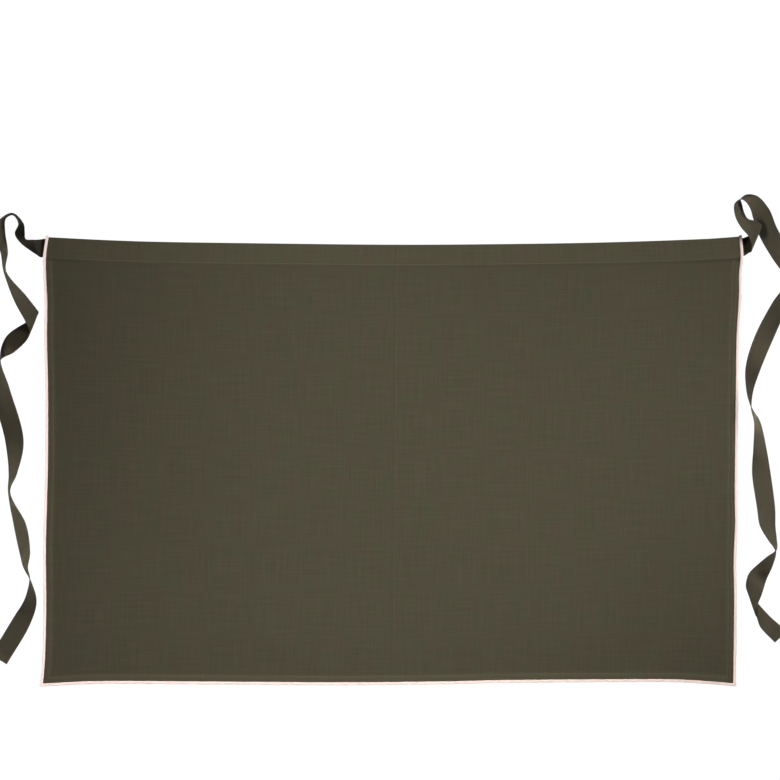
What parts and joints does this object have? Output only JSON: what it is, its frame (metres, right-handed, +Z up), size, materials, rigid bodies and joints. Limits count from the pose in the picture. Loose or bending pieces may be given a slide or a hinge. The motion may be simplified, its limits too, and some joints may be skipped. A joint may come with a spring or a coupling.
{
  "type": "waist apron",
  "caption": "Half apron of dark olive cloth with a stitched waistband, pale pink thread edging and flat tape ties, laid out flat with its ties lying twisted beside it.",
  "frame": {"origin": "middle of the panel, on the surface that it lies on", "axes": "+X to the right as the apron is seen from the front, +Y towards the waistband, +Z up from the surface, out of the apron's front"},
  "size_m": [1.0462, 0.6401, 0.0244],
  "materials": {
    "apron_cloth": "matte slubby weave",
    "tie_tape": "matte plain weave",
    "edging_thread": "soft wound thread"
  },
  "bodies": {
    "root": {"panel": "apron_cloth", "edging_left": "edging_thread", "edging_right": "edging_thread", "edging_bottom": "edging_thread", "tie_left": "tie_tape", "tie_right": "tie_tape"}
  },
  "joints": []
}
